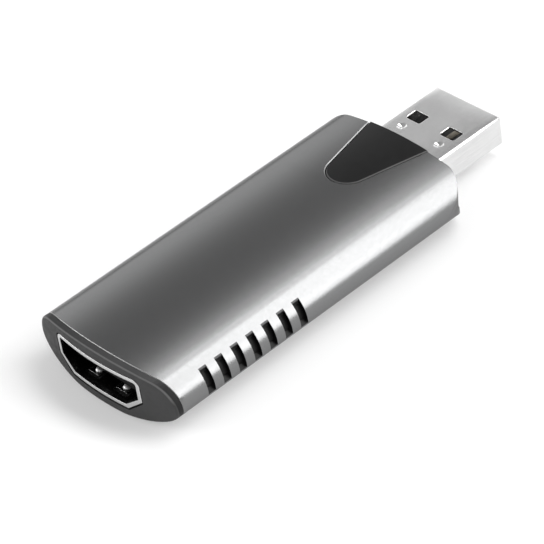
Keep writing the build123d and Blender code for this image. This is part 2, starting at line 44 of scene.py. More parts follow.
# Body: the same section and plan as the solids
HALF_WIDTH = 13.2
WAIST_Z = 3.55
CROWN_HEIGHT = 5.2
CROWN_RADIUS = 50.0
BELLY_DEPTH = 3.75
FACE_X = -34.55
RIM_X = -33.55
FACE_BOW = 2.1
SLEEVE_END_X = 20.95
END_CORNER = 4.1
SLEEVE_WALL = 0.7
RIM_CHAMFER = 0.15
NOTCH_CHAMFER = 0.12
HIGHLIGHT_FADE_Z = 4.8
GRID_FROM_X = -27.7
GRID_TO_X = 16.0

# Vent slots
SLOT_COUNT = 7
SLOT_SPACING = 2.71
SLOT_WIDTH = 1.25
FIRST_SLOT_X = -26.54
SLOT_DEPTH = 1.1
SLOT_CUTTER = 2.6
SLOT_TILT = radians(19.5)
SLOT_RELIEF = 0.25

# Front bezel
BEZEL_EDGE = 0.25
SKIRT_INSET = 0.75
SKIRT_WALL = 0.8
SKIRT_END_X = RIM_X + 4.1
PLATE_INSIDE_X = FACE_X + 2.9
RECESS_FLOOR_X = FACE_X + 1.35
RECESS_GROW = 0.75
COLLAR_GROW = 1.5
COLLAR_PLAY = 0.02
HOLE_GROW = 0.35

# Tongue of the rear insert and the notch round it
NOSE_X = 11.7
NOSE_RADIUS = 3.1
TONGUE_HALF_END = 5.4
TONGUE_GAP = 0.14
TONGUE_CHAMFER = 0.12
TONGUE_RECESS = 0.02
TONGUE_END_X = 21.15
ROOF_INSET = 0.75
PLATE_BACK_X = 20.85
PLATE_FRONT_X = 18.85

# Video port
PORT_X = -34.15
PORT_Z = 4.24
PORT_HALF = 7.35
PORT_HALF_HEIGHT = 2.25
PORT_CHAMFER = (2.4, 1.8)
PORT_TOP_RADIUS = 0.45
PORT_SHEET = 0.3
PORT_LIP = 0.55
PORT_LIP_DEPTH = 0.5
PORT_LIP_BOW = 0.9
PORT_LIP_REACH = 0.34
PORT_LIP_ROUND = (0.07, 0.1)
PORT_BACK_X = PORT_X + 11.2
PORT_EAR = (8.75, 4.65, 4.95, PORT_BACK_X - 2.0, PORT_BACK_X)
SPRING_Y = 2.7
SPRING_HALF = 1.0
SPRING_SLIT = 0.3
SPRING_WINDOW = (SPRING_Y - SPRING_HALF - SPRING_SLIT, SPRING_Y + SPRING_HALF + SPRING_SLIT)
SPRING_ROOT_X = PORT_X + 7.4
SPRING_TIP_X = PORT_X + 1.2
SPRING_BUMP_X = PORT_X + 2.3
SPRING_DROP = 0.52
SPRING_TIP_DROP = 0.25
SPRING_DOME = (0.55, 0.5)
SPRING_DOME_STRETCH = 1.3
SPRING_CLIMB = 1.15
SPRING_FALL = 1.6
PORT_BLOCK_X = PORT_BACK_X - 3.0
PORT_TONGUE_X = PORT_X + 1.35
PORT_TONGUE_HALF = 5.7
PORT_TONGUE_CORNER = 0.12
PORT_TONGUE_SOFT = (0.3, 0.03, 0.28)
BOARD_TOP_Z = 4.65
BOARD_LOW_Z = 3.65
PORT_CONTACT_X = PORT_X + 2.0
PORT_CONTACT_TAIL_X = PORT_BACK_X + 1.4
PORT_CONTACT_HALF = 0.21
PORT_CONTACT_THICK = 0.15

# Type A plug
PLUG_Z = 3.9
PLUG_HALF = 6.0
PLUG_HALF_HEIGHT = 2.25
PLUG_SHEET = 0.3
PLUG_CORNER = 0.33
PLUG_ROLL = 0.2
PLUG_PLAY = 0.05
PLUG_TAIL_X = 15.8
PLUG_TIP_X = 34.55
LATCH_X = 27.85
LATCH_Y = 3.2
LATCH_HALF = (1.03, 1.28)
LATCH_CORNER = 0.25
LATCH_ROUND = 0.1
DIMPLE_X = 25.05
DIMPLE_Y = 3.5
DIMPLE_RADIUS = 0.72
DIMPLE_DEPTH = 0.26
PLUG_EAR = (7.4, 4.65, 4.95, 16.0, 17.9)
PLUG_BLOCK_X = 21.4
PLUG_TONGUE_X = 33.85
PLUG_TONGUE_Z = 3.55
PLUG_TONGUE_SOFT = (0.25, 0.02, 0.16)
PLUG_CHANNEL_PLAY = 0.04
PLUG_CONTACTS = ((1.0, 32.35), (3.5, 33.35))
PLUG_CONTACT_HALF = 0.5
PLUG_CONTACT_THICK = 0.2
PLUG_CONTACT_TAIL_X = 13.8
CONTACT_LEAD = 0.3

# Points closer than WELD become one. At even turns of a quarter circle, RUN is how far
# it has run and SHORT how far it has yet to rise, as shares of its radius.
WELD = 0.0005
SHARP_ANGLE = radians(38)
RUN = 1 - np.cos(np.linspace(0, pi / 2, 6))
SHORT = RUN[::-1]

# Finishes by the name of their slot, filled by make_finishes
finishes = {}

# Which inner solids take which finish
INNER_FINISHES = {
    "liner_plastic": ["inner_cover", "inner_tray"],
    "board_laminate": ["circuit_board"],
    "chip_package": ["capture_chip", "flash_chip", "voltage_regulators", "esd_arrays"],
    "tinned_leads": ["capture_chip_leads", "flash_chip_leads", "regulator_leads"],
    "pad_silicone": ["thermal_pad"],
    "crystal_can": ["crystal"],
    "ferrite": ["power_inductors"],
    "capacitor_ceramic": ["chip_capacitors"],
    "resistor_ceramic": ["chip_resistors"],
}


# Mesh helpers
class Skin:
    """Collects grids and polygons of points, in millimetres, for one piece."""

    def __init__(self):
        self.points, self.faces, self.edges = [], [], []
        self.count = 0

    def grid(self, points, chained=False, ring=False, keep=None, edge=0.0):
        """Quads between neighbouring points of a rows by columns array. Edge gives each of them
        a painted highlight, from 0 to 1, or down to -1 painted shade."""
        rows, columns = points.shape[:2]
        index = np.arange(rows * columns).reshape(rows, columns) + self.count
        if chained:
            index = np.vstack([index, index[:1]])
        if ring:
            index = np.hstack([index, index[:, :1]])
        quads = np.stack([index[:-1, :-1], index[1:, :-1], index[1:, 1:], index[:-1, 1:]], -1)
        edge = np.broadcast_to(edge, quads.shape[:2])
        if keep is not None:
            quads, edge = quads[keep], edge[keep]
        self.points.append(points.reshape(-1, 3))
        self.faces.extend(quads.reshape(-1, 4).tolist())
        self.edges.append(edge.reshape(-1))
        self.count += rows * columns

    def strip(self, first, second, edge=0.0):
        """One row of quads between two lines of points."""
        self.grid(np.stack([first, second]), edge=edge)

    def polygon(self, points, edge=0.0):
        """One flat face round a loop of points."""
        self.points.append(points)
        self.faces.append(list(range(self.count, self.count + len(points))))
        self.edges.append(np.full(1, float(edge)))
        self.count += len(points)

    def chain(self, loops, edge=0.0, keep=None):
        """Loops joined in their order, and the last to the first."""
        self.grid(np.stack(loops), chained=True, ring=True, keep=keep, edge=edge)

    def rod(self, loops):
        """Loops joined in their order, with a flat face over the first and the last."""
        self.grid(np.stack(loops), ring=True)
        self.polygon(loops[0])
        self.polygon(loops[-1])

    def slab(self, top, low, edge=0.0):
        """Two grids that face each other, with a wall along each of their four sides."""
        self.grid(top, edge=edge)
        self.grid(low)
        for end in (0, -1):
            self.strip(top[:, end], low[:, end])
            self.strip(top[end], low[end])

    def mesh(self, name):
        """Leaves out points of no face, welds the seams, drops faces with no area and
        turns every face outwards."""
        mesh = bpy.data.meshes.new(name)
        used, corners = np.unique(np.concatenate(self.faces), return_inverse=True)
        ends = np.cumsum([len(face) for face in self.faces])
        faces = [corner.tolist() for corner in np.split(corners, ends[:-1])]
        mesh.from_pydata((np.concatenate(self.points)[used] * MM).tolist(), [], faces)
        mark = mesh.attributes.new("edge", "FLOAT", "FACE")
        mark.data.foreach_set("value", np.concatenate(self.edges).astype(np.float32))
        welded = bmesh.new()
        welded.from_mesh(mesh)
        bmesh.ops.remove_doubles(welded, verts=welded.verts, dist=WELD * MM)
        bmesh.ops.dissolve_degenerate(welded, edges=welded.edges, dist=WELD * MM)
        bmesh.ops.recalc_face_normals(welded, faces=welded.faces)
        welded.to_mesh(mesh)
        welded.free()
        return mesh


def add_object(name, data):
    """A new object in the scene."""
    thing = bpy.data.objects.new(name, data)
    bpy.context.scene.collection.objects.link(thing)
    return thing


def stand(thing, right, up, back, place):
    """Puts an object at a place, in metres, with its own axes along the three given."""
    matrix = np.eye(4)
    matrix[:3] = np.stack([right, up, back, place], -1)
    thing.matrix_world = Matrix(matrix.tolist())


def add_piece(name, skin, slot, nodes, bevel=0.0):
    """Makes the finished piece, which stands for its nodes and rides on the root."""
    mesh = skin.mesh(name)
    mesh.polygons.foreach_set("use_smooth", [True] * len(mesh.polygons))
    mesh.set_sharp_from_angle(angle=SHARP_ANGLE)
    mesh.materials.append(finishes[slot])
    piece = add_object(name, mesh)
    if bevel:
        modifier = piece.modifiers.new("edge_round", "BEVEL")
        modifier.width = bevel * MM
        modifier.segments = 2
        modifier.limit_method = "ANGLE"
        modifier.angle_limit = SHARP_ANGLE
        modifier.harden_normals = True
    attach(piece, "root")
    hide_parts(*nodes)


def at(x, y, z):
    """Points from coordinates that broadcast together."""
    return np.stack(np.broadcast_arrays(x, y, z), -1).astype(float)


# Shared shapes
def shoulder_radius(inset=0.0):
    """The arc that is tangent to the crown arc and upright at the waist."""
    half, top, crown = HALF_WIDTH - inset, CROWN_HEIGHT - inset, CROWN_RADIUS - inset
    return (2 * crown * top - half**2 - top**2) / (2 * (crown - half))


SHOULDER_Y = HALF_WIDTH - shoulder_radius()
LEAN = atan2(SHOULDER_Y, CROWN_RADIUS - CROWN_HEIGHT)


def crown_z(y, inset=0.0):
    """Height of the roof: a circle of the crown's radius about a centre far below."""
    crown = CROWN_RADIUS - inset
    return WAIST_Z + CROWN_HEIGHT - CROWN_RADIUS + np.sqrt(crown**2 - y**2)


def tangent_y(inset=0.0):
    """Where the crown arc meets the shoulder arc."""
    return (CROWN_RADIUS - inset) * sin(LEAN)


def lower_section(u, inset=0.0):
    """Half section under the crown. u from 1 to 2 is the shoulder arc, from 2 to 3 the
    belly's ellipse down to the foot, and from 3 to 4 the flat foot to the middle."""
    half, bottom, radius = HALF_WIDTH - inset, BELLY_DEPTH - inset, shoulder_radius(inset)
    turn = (pi / 2 - LEAN) * (2 - u)
    belly = asin((WAIST_Z - inset) / bottom) * np.clip(u - 2, 0, 1)
    y = np.where(u < 2, SHOULDER_Y + radius * np.cos(turn), half * np.cos(belly))
    z = np.where(u < 2, WAIST_Z + radius * np.sin(turn), WAIST_Z - bottom * np.sin(belly))
    return y * (1 - np.clip(u - 3, 0, 1)), np.where(u >= 3, inset, z)


def mirrored(y, z):
    """A closed loop from its half, which starts and ends in the middle plane."""
    return np.r_[y, -y[-2:0:-1]], np.r_[z, z[-2:0:-1]]


def full_section(inset):
    """The closed section as a dense loop of y and z, from the roof's middle round."""
    top_y = np.linspace(0, tangent_y(inset), 300)
    low_y, low_z = lower_section(np.linspace(1, 4, 1200), inset)
    return mirrored(np.r_[top_y, low_y[1:]], np.r_[crown_z(top_y, inset), low_z[1:]])


def bow(y):
    """The face's bow: a circle through the middle of the face and both its ends."""
    radius = (HALF_WIDTH**2 + FACE_BOW**2) / (2 * FACE_BOW)
    return radius - np.sqrt(radius**2 - y**2)


def plan_end(y, end_x=SLEEVE_END_X):
    """Rear edge seen from above: straight, with a quarter circle at each corner."""
    past = np.clip(np.abs(y) - (HALF_WIDTH - END_CORNER), 0, END_CORNER)
    return end_x - (END_CORNER - np.sqrt(END_CORNER**2 - past**2))


def nose_touch(gap):
    """Slope of the tongue's straight edges, and where they touch the round nose."""
    nose, half_end, run = NOSE_RADIUS + gap, TONGUE_HALF_END + gap, SLEEVE_END_X - NOSE_X
    slope = atan2(half_end, run) - asin(nose / hypot(half_end, run))
    return slope, NOSE_X - nose * sin(slope), nose * cos(slope)


def tongue_half(x, gap=0.0):
    """Half width of the tongue at x: the nose's circle, then the straight edge."""
    slope, touch_x, touch_y = nose_touch(gap)
    circle = np.sqrt(np.clip((NOSE_RADIUS + gap) ** 2 - (x - NOSE_X) ** 2, 0, None))
    straight = touch_y + (x - touch_x) * tan(slope)
    return np.where(x < NOSE_X - NOSE_RADIUS - gap, 0, np.where(x < touch_x, circle, straight))


def nose_rows(gap, end_x, straight_rows):
    """Stations along the tongue: by equal angles round the nose, then even."""
    slope = nose_touch(gap)[0]
    turn = np.linspace(0, pi / 2 - slope, 17)
    curve = NOSE_X - (NOSE_RADIUS + gap) * np.cos(turn)
    return np.r_[curve, np.linspace(curve[-1], end_x, straight_rows + 1)[1:]]


def port_loop(grow=0.0):
    """Port outline grown by a distance, always with as many points. The edges of the
    spring windows are among them."""
    half, top = PORT_HALF + grow, PORT_Z + PORT_HALF_HEIGHT + grow
    low = PORT_Z - PORT_HALF_HEIGHT - grow
    slant = atan2(PORT_CHAMFER[1], PORT_CHAMFER[0])
    cut_y = PORT_CHAMFER[0] + grow * (1 - cos(slant)) / sin(slant)
    cut_z = PORT_CHAMFER[1] + grow * (1 - sin(slant)) / cos(slant)
    radius = PORT_TOP_RADIUS + grow
    arc = np.linspace(pi / 2, 0, 9)[1:]
    level = np.r_[np.linspace(0, SPRING_WINDOW[0], 8), np.linspace(*SPRING_WINDOW, 13)[1:]]
    top_y = np.r_[level, np.linspace(level[-1], half - radius, 9)[1:]]
    low_y = np.r_[np.linspace(half - cut_y, level[-1], 4)[1:-1], level[::-1]]
    y = np.r_[
        top_y, half - radius + radius * np.cos(arc), np.full(20, half),
        np.linspace(half, half - cut_y, 17)[1:], low_y,
    ]
    z = np.r_[
        np.full(len(top_y), top), top - radius + radius * np.sin(arc),
        np.linspace(top - radius, low + cut_z, 21)[1:], np.linspace(low + cut_z, low, 17)[1:],
        np.full(len(low_y), low),
    ]
    return mirrored(y, z)


def flat_steps(y, z, near, far):
    """Which steps of a loop run level, with their middle between near and far."""
    middle = np.abs(y + np.roll(y, -1)) / 2
    return (np.abs(z - np.roll(z, -1)) < 1e-9) & (middle > near) & (middle < far)


def ray_match(y, z, outline, centre_z):
    """Where the rays from (0, centre_z) through given points cross a dense outline."""
    turn = np.mod(np.arctan2(outline[0], outline[1] - centre_z), 2 * pi)
    order = np.argsort(turn)
    reach = np.hypot(outline[0], outline[1] - centre_z)[order]
    wanted = np.arctan2(y, z - centre_z)
    radius = np.interp(np.mod(wanted, 2 * pi), turn[order], reach, period=2 * pi)
    return radius * np.sin(wanted), centre_z + radius * np.cos(wanted)


def rounded_loop(half, low, top, radius, steps=6, flat=np.array([-1.0, 1.0]), side=np.array([])):
    """Rectangle with round corners in y and z, from its top left round. Flat and side
    give the points along its straight parts as shares of their half length."""
    turn = np.linspace(0, pi / 2, steps + 1)
    sine, cosine = radius * np.sin(turn), radius * np.cos(turn)
    near, high, deep = half - radius, top - radius, low + radius
    middle, up = (top + low) / 2, side * (high - deep) / 2
    y = np.r_[
        flat * near, near + sine[1:], up * 0 + half, near + cosine,
        flat[-2::-1] * near, -near - sine[1:], up * 0 - half, -near - cosine[:-1],
    ]
    z = np.r_[
        flat * 0 + top, high + cosine[1:], middle + up, deep - sine,
        flat[1:] * 0 + low, deep - cosine[1:], middle - up, high + sine[:-1],
    ]
    return y, z


def ball_cap(radius, reach, height):
    """Height at a distance radius from the middle of a cap of a ball, which is height
    tall and ends at the distance reach."""
    ball = (reach**2 + height**2) / (2 * height)
    return np.sqrt(ball**2 - np.minimum(radius, reach) ** 2) - (ball - height)


# Sleeve
CROWN_COLUMNS = 15
SHOULDER_COLUMNS = 7
SLOT_COLUMNS = 14
SLOT_TOP = CROWN_COLUMNS + SHOULDER_COLUMNS
SLOT_LOW = SLOT_TOP + SLOT_COLUMNS
FRONT_ROWS = 7
NOTCH_TIP_X = NOSE_X - NOSE_RADIUS - TONGUE_GAP


def slot_centre():
    """Centre of the round cutter that opened the slots, in the section's plane."""
    reach = shoulder_radius() + SLOT_CUTTER - SLOT_DEPTH
    return SHOULDER_Y + reach * cos(SLOT_TILT), WAIST_Z + reach * sin(SLOT_TILT)


def half_columns(inset):
    """Values of u down one side. Those where the cutter's circle crosses the section
    at this inset are the slots' ends; outside, the upper end is eased further up."""
    u = np.linspace(1.0, 2.6, 8000)
    y, z = lower_section(u, inset)
    centre = slot_centre()
    inside = u[np.hypot(y - centre[0], z - centre[1]) < SLOT_CUTTER]
    top = inside[0] if inset else inside[0] - SLOT_RELIEF / (shoulder_radius() * (pi / 2 - LEAN))
    return np.r_[
        np.linspace(1, top, SHOULDER_COLUMNS + 1),
        np.linspace(top, inside[-1], SLOT_COLUMNS + 1)[1:],
        np.linspace(inside[-1], 3, 27)[1:],
        np.linspace(3, 4, 5)[1:],
    ]


def section_line(half, inset, chamfer=0.0, start=0.0, cut=0.0):
    """One side of the section from the roof round to the foot. A chamfer draws the same
    columns inwards. The roof starts at y = start, and the first column lies at y = half,
    cut down below the roof."""
    share = np.linspace(0, 1, CROWN_COLUMNS)[:-1]
    top_y = start + (tangent_y(inset + chamfer) - start) * share
    low_y, low_z = lower_section(half_columns(inset), inset + chamfer)
    y = np.r_[half, top_y, low_y]
    z = np.r_[crown_z(half, inset + chamfer) - cut, crown_z(top_y, inset + chamfer), low_z]
    return y, z


def notch_line(x, inset):
    """The section at x where the notch opens the roof. On the outer skin its edge is
    chamfered: the roof stops at the notch's outline grown by the chamfer."""
    half = float(tongue_half(x, TONGUE_GAP))
    if inset:
        return section_line(half, inset, start=half)
    start = float(tongue_half(x, TONGUE_GAP + NOTCH_CHAMFER))
    cut = float(np.clip(x - NOTCH_TIP_X + NOTCH_CHAMFER, 0, NOTCH_CHAMFER))
    return section_line(half, inset, start=start, cut=cut)


def sleeve_stations():
    """Stations along the sleeve, and the first row of each slot among them."""
    rows, starts = [np.array([GRID_FROM_X])], []
    for index in range(SLOT_COUNT):
        first = FIRST_SLOT_X + index * SLOT_SPACING - SLOT_WIDTH / 2
        starts.append(sum(map(len, rows)))
        rows.append(np.linspace(first, first + SLOT_WIDTH, 4))
        rows.append(np.linspace(first + SLOT_WIDTH, first + SLOT_SPACING, 5)[1:-1])
    rows.append(np.linspace(rows[-1][-1], NOTCH_TIP_X - NOTCH_CHAMFER, 12)[1:-1])
    rows.append(nose_rows(TONGUE_GAP + NOTCH_CHAMFER, GRID_TO_X, 4))
    rows.append(np.array([NOTCH_TIP_X]))
    return np.sort(np.concatenate(rows)), starts


def sleeve_side(inset, side, stations):
    """One side of a skin of the sleeve. Its rows follow the bowed front rim, then run
    straight across, then follow the rear rim."""
    y, z = section_line(0.0, inset)
    start = RIM_X + bow(y) + RIM_CHAMFER
    cut_y, cut_z = section_line(0.0, inset, RIM_CHAMFER if inset == 0 else 0.0)
    rows = [at(RIM_X + bow(cut_y), side * cut_y, cut_z)]
    for step in np.linspace(0, 1, FRONT_ROWS)[:-1]:
        rows.append(at(start + (stations[0] - start) * step, side * y, z))
    for x in stations:
        y, z = notch_line(x, inset)
        rows.append(at(x, side * y, z))
    for step in np.linspace(0, 1, 11)[1:]:
        x = stations[-1] + (SLEEVE_END_X - stations[-1]) * step
        y, z = notch_line(x, inset)
        rows.append(at(stations[-1] + (plan_end(y) - stations[-1]) * step, side * y, z))
    return np.stack(rows)


def slot_walls(skin, outer, inner, start, side):
    """A slot's four walls: two cheeks across it, and two ends on the cutter's circle."""
    middle = np.array([slot_centre()[0] * side, slot_centre()[1]])
    # painted shade on every wall of a slot, a little lighter at its upper end
    for column, edge in ((SLOT_TOP, -0.7), (SLOT_LOW, -1)):
        ends = np.stack([outer[start, column, 1:], inner[start, column, 1:]]) - middle
        angle = np.unwrap(np.arctan2(ends[:, 1], ends[:, 0]))
        turn = np.linspace(angle[0], angle[1], 6)
        arc = middle + SLOT_CUTTER * np.stack([np.cos(turn), np.sin(turn)], -1)
        rows = slice(start, start + 4)
        lines = at(outer[rows, column, :1], arc[:, 0], arc[:, 1])
        lines[:, 0], lines[:, -1] = outer[rows, column], inner[rows, column]
        skin.grid(lines, edge=edge)
        skin.polygon(lines[0], edge=-1)
        skin.polygon(lines[-1], edge=-1)
    for row in (start, start + 3):
        skin.strip(outer[row, SLOT_TOP : SLOT_LOW + 1], inner[row, SLOT_TOP : SLOT_LOW + 1], edge=-1)


def highlight_reach(z):
    """How much painted highlight a rim takes: all of it on the roof, and none down the sides."""
    return np.clip(z - HIGHLIGHT_FADE_Z, 0, 1)


def make_sleeve():
    """Outer and inner skins of the same rows and columns, joined round the rims, the
    notch and each slot."""
    skin = Skin()
    stations, starts = sleeve_stations()
    nose = FRONT_ROWS + int(np.argmin(np.abs(stations - NOTCH_TIP_X)))
    for side in (1, -1):
        outer = sleeve_side(0.0, side, stations)
        inner = sleeve_side(SLEEVE_WALL, side, stations)
        keep = np.ones(outer[1:, 1:, 0].shape, bool)
        for start in starts:
            first = FRONT_ROWS + start
            keep[first : first + 3, SLOT_TOP:SLOT_LOW] = False
            slot_walls(skin, outer, inner, first, side)
        edge = np.zeros(keep.shape)
        # painted highlight along the front rim's chamfer, less down the sides, and along the notch's
        # chamfered edge
        edge[0] = highlight_reach(outer[0, 1:, 2])
        edge[nose:, 0] = 1
        skin.grid(outer, keep=keep, edge=edge)
        skin.grid(inner, keep=keep)
        # painted highlight on the front rim's end face
        skin.strip(outer[0], inner[0], edge=0.5)
        skin.strip(outer[-1], inner[-1])
        skin.strip(outer[nose:, 0], inner[nose:, 0])
    add_piece("sleeve_shell", skin, "anodised_shell", ["sleeve"], bevel=0.06)


# Front bezel
def make_bezel():
    """One chain of loops, all round the port: recess, bowed face, rounded edge, side
    band, shoulder, skirt, inside of the face, collar, and back to the recess."""
    skin = Skin()
    mouth_y, mouth_z = port_loop(RECESS_GROW)

    def ring(inset, x=None, lift=0.0):
        y, z = ray_match(mouth_y, mouth_z, full_section(inset), PORT_Z)
        return at(FACE_X + lift + bow(y) if x is None else x, y, z)

    def port_ring(grow, x):
        return at(x, *port_loop(grow))

    def collar_ring(x):
        """The collar's outline, kept inside the skirt where that is lower."""
        wall = ring(SKIRT_INSET + SKIRT_WALL, x=x)
        y, z = port_loop(COLLAR_GROW)
        limit = np.hypot(wall[:, 1], wall[:, 2] - PORT_Z) - COLLAR_PLAY
        y, z = ray_match(mouth_y, mouth_z, (y, z), PORT_Z)
        scale = np.minimum(1, limit / np.hypot(y, z - PORT_Z))
        return at(x, y * scale, PORT_Z + (z - PORT_Z) * scale)

    mouth = at(FACE_X + bow(mouth_y), mouth_y, mouth_z)
    border = ring(BEZEL_EDGE)
    loops = [port_ring(RECESS_GROW, RECESS_FLOOR_X), mouth]
    for step in np.linspace(0, 1, 8)[1:]:
        flat = mouth + (border - mouth) * step
        flat[:, 0] = FACE_X + bow(flat[:, 1])
        loops.append(flat)
    for turn in np.linspace(0, pi / 2, 8)[1:]:
        loops.append(ring(BEZEL_EDGE * (1 - sin(turn)), lift=BEZEL_EDGE * (1 - cos(turn))))
    rim = RIM_X - FACE_X
    loops += [
        ring(0.0, lift=rim * 0.6), ring(0.0, lift=rim), ring(SKIRT_INSET, lift=rim),
        ring(SKIRT_INSET, x=SKIRT_END_X), ring(SKIRT_INSET + SKIRT_WALL, x=SKIRT_END_X),
        ring(SKIRT_INSET + SKIRT_WALL, x=PLATE_INSIDE_X), collar_ring(PLATE_INSIDE_X),
        collar_ring(SKIRT_END_X), port_ring(HOLE_GROW, SKIRT_END_X), port_ring(HOLE_GROW, RECESS_FLOOR_X),
    ]
    # a painted highlight along the rounded edge, and painted shade on the far side of the band below it
    edge = np.zeros((len(loops), len(mouth_y)))
    edge[8:15] = np.array([0.1, 0.5, 1, 1, 1, 0.5, 0.1])[:, None] * highlight_reach(loops[12][:, 2])
    edge[15:17] = -np.clip((-10 - loops[16][:, 1]) / 2, 0, 0.8)
    skin.chain(loops, edge=edge)
    add_piece("bezel_cap", skin, "bezel_plastic", ["front_bezel"], bevel=0.05)


# Rear insert
def make_insert():
    """The tongue is the roof's own curve inside its outline, with a chamfer round it.
    The plate is a chain of loops between the plug's opening and the sleeve's inside."""
    skin = Skin()
    soft_x = NOSE_X - NOSE_RADIUS + TONGUE_CHAMFER
    rows = np.sort(np.append(nose_rows(0.0, TONGUE_END_X, 8), soft_x))
    outline = tongue_half(rows)[:, None]
    y = np.hstack([-outline, tongue_half(rows, -TONGUE_CHAMFER)[:, None] * np.linspace(-1, 1, 25), outline])
    drop = np.clip(soft_x - rows, 0, TONGUE_CHAMFER)[:, None] + 0 * y
    drop[:, [0, -1]] = TONGUE_CHAMFER
    top = at(rows[:, None], y, crown_z(y, TONGUE_RECESS) - drop)
    low = at(rows[:, None], y, crown_z(y, ROOF_INSET))
    edge = np.zeros(y[1:, 1:].shape)
    # painted highlight along the tongue's chamfered sides
    edge[:, [0, -1]] = 1
    skin.grid(top, edge=edge)
    skin.grid(low)
    skin.strip(top[:, 0], low[:, 0])
    skin.strip(top[:, -1], low[:, -1])
    skin.strip(top[-1], low[-1])

    half, tall, corner = np.array([PLUG_HALF, PLUG_HALF_HEIGHT, PLUG_CORNER]) + PLUG_PLAY
    flat, side = np.linspace(-1, 1, 49), np.linspace(1, -1, 9)[1:-1]
    y, z = rounded_loop(half, PLUG_Z - tall, PLUG_Z + tall, corner, flat=flat, side=side)
    outer_y, outer_z = ray_match(y, z, full_section(ROOF_INSET), PLUG_Z)
    loops = [at(PLATE_FRONT_X, y, z)]
    for step in np.linspace(0, 1, 9):
        ring_y, ring_z = y + (outer_y - y) * step, z + (outer_z - z) * step
        loops.append(at(plan_end(ring_y, PLATE_BACK_X), ring_y, ring_z))
    loops.append(at(PLATE_FRONT_X, outer_y, outer_z))
    skin.chain(loops)
    add_piece("tongue_insert", skin, "insert_plastic", ["rear_insert"], bevel=0.04)


# Video port
def add_ear(skin, side, near, far, low, top, first_x, last_x):
    """A flat ear that stands out sideways from a shell to the board."""
    y, z = np.array([near, far, far, near]) * side, np.array([low, low, top, top])
    skin.rod([at(first_x, y, z), at(last_x, y, z)])


def make_port_shell():
    """A folded tube with two ears, a flared, rounded lip that follows the face's bow,
    and four windows with a spring in each."""
    skin = Skin()
    stations = np.r_[np.linspace(SPRING_TIP_X - SPRING_SLIT, SPRING_ROOT_X, 8), PORT_BACK_X]
    inner = [at(x, *port_loop()) for x in stations]
    outer = [at(x, *port_loop(PORT_SHEET)) for x in stations]
    inside, outside = PORT_LIP_ROUND
    lip = [*zip(inside * SHORT, inside * RUN), *zip(outside * RUN, PORT_LIP - outside * SHORT)]
    lip += [(PORT_LIP_DEPTH, PORT_LIP), (PORT_LIP_DEPTH, PORT_SHEET)]
    chain = inner[::-1]
    for depth, grow in lip:
        y, z = port_loop(grow)
        chain.append(at(PORT_X - PORT_LIP_REACH + PORT_LIP_BOW * bow(y) + depth, y, z))
    chain += outer

    window = flat_steps(*port_loop(), *SPRING_WINDOW)
    # the windows run between the first eight stations, in the inner and the outer skin
    keep = np.ones((len(chain), len(window)), bool)
    keep[1:8, window] = False
    keep[len(chain) - 9 : len(chain) - 2, window] = False
    edge = np.zeros(keep.shape)
    # painted shade over the inside of the tube
    edge[: len(inner)] = -1
    skin.chain(chain, edge, keep)
    outer, inner = np.stack(outer), np.stack(inner)
    starts = np.flatnonzero(window & ~np.roll(window, 1))
    ends = np.flatnonzero(window & ~np.roll(window, -1)) + 1
    for low, high in zip(starts, ends):
        for row in (0, 7):
            skin.strip(outer[row, low : high + 1], inner[row, low : high + 1])
        for column in (low, high):
            skin.strip(outer[:8, column], inner[:8, column])
    for side in (1, -1):
        add_ear(skin, side, PORT_HALF + PORT_SHEET, *PORT_EAR)
        for hand in (1, -1):
            port_spring(skin, side, hand)
    add_piece("port_sheet", skin, "port_steel", ["port_shell"], bevel=0.03)


def port_spring(skin, side, hand):
    """A spring: its dip ramps up smoothly from the wall to a crest and falls off to the
    tip, with an oval cap of a ball pressed up on the crest."""
    fine_x = SPRING_BUMP_X + 0.9
    x = np.r_[np.linspace(SPRING_ROOT_X, fine_x, 10), np.linspace(fine_x, SPRING_TIP_X, 37)[1:]]
    across = np.linspace(-1, 1, 33) * SPRING_HALF
    reach, height = SPRING_DOME
    crest = SPRING_DROP - height
    climb = np.clip((SPRING_ROOT_X - x) / (SPRING_ROOT_X - SPRING_BUMP_X), 0, 1) ** SPRING_CLIMB
    past = np.clip((SPRING_BUMP_X - x) / (SPRING_BUMP_X - SPRING_TIP_X), 0, 1)
    ramp = crest * climb - (crest - SPRING_TIP_DROP) * past**SPRING_FALL
    radius = np.hypot((x[:, None] - SPRING_BUMP_X) / SPRING_DOME_STRETCH, across)
    dip = ramp[:, None] + ball_cap(radius, reach, height)
    wall = PORT_Z + hand * PORT_HALF_HEIGHT
    y = side * SPRING_Y + across
    near = at(x[:, None], y, wall - hand * dip)
    far = at(x[:, None], y, wall - hand * (dip - 0.8 * PORT_SHEET))
    # painted highlight on the dome, painted shade on the rest of the spring
    skin.slab(near, far, edge=np.where(radius[1:, 1:] < reach, 1.0, -0.6))


def soft_tongue(skin, y, z, front_x, back_x, length, narrower, lower):
    """A tongue with the outline y and z, which over a length at its front grows along a
    quarter circle from an outline that is narrower and lower by shares."""
    middle, toward = (z.min() + z.max()) / 2, copysign(length, back_x - front_x)
    loops = []
    for run, short in zip(RUN, SHORT):
        height = (z - middle) * (1 - lower * short)
        loops.append(at(front_x + toward * run, y * (1 - narrower * short), middle + height))
    skin.rod(loops + [at(back_x, y, z)])


def make_port_tongue():
    """A block in the back of the port, and the thin tongue that stands out of it."""
    skin = Skin()
    skin.rod([at(x, *port_loop()) for x in (PORT_BLOCK_X, PORT_BACK_X)])
    flat = np.linspace(-1, 1, 21)
    y, z = rounded_loop(PORT_TONGUE_HALF, BOARD_LOW_Z, BOARD_TOP_Z, PORT_TONGUE_CORNER, steps=3, flat=flat)
    soft_tongue(skin, y, z, PORT_TONGUE_X, PORT_BLOCK_X, *PORT_TONGUE_SOFT)
    add_piece("port_tongue", skin, "port_plastic", ["port_insulator"], bevel=0.03)


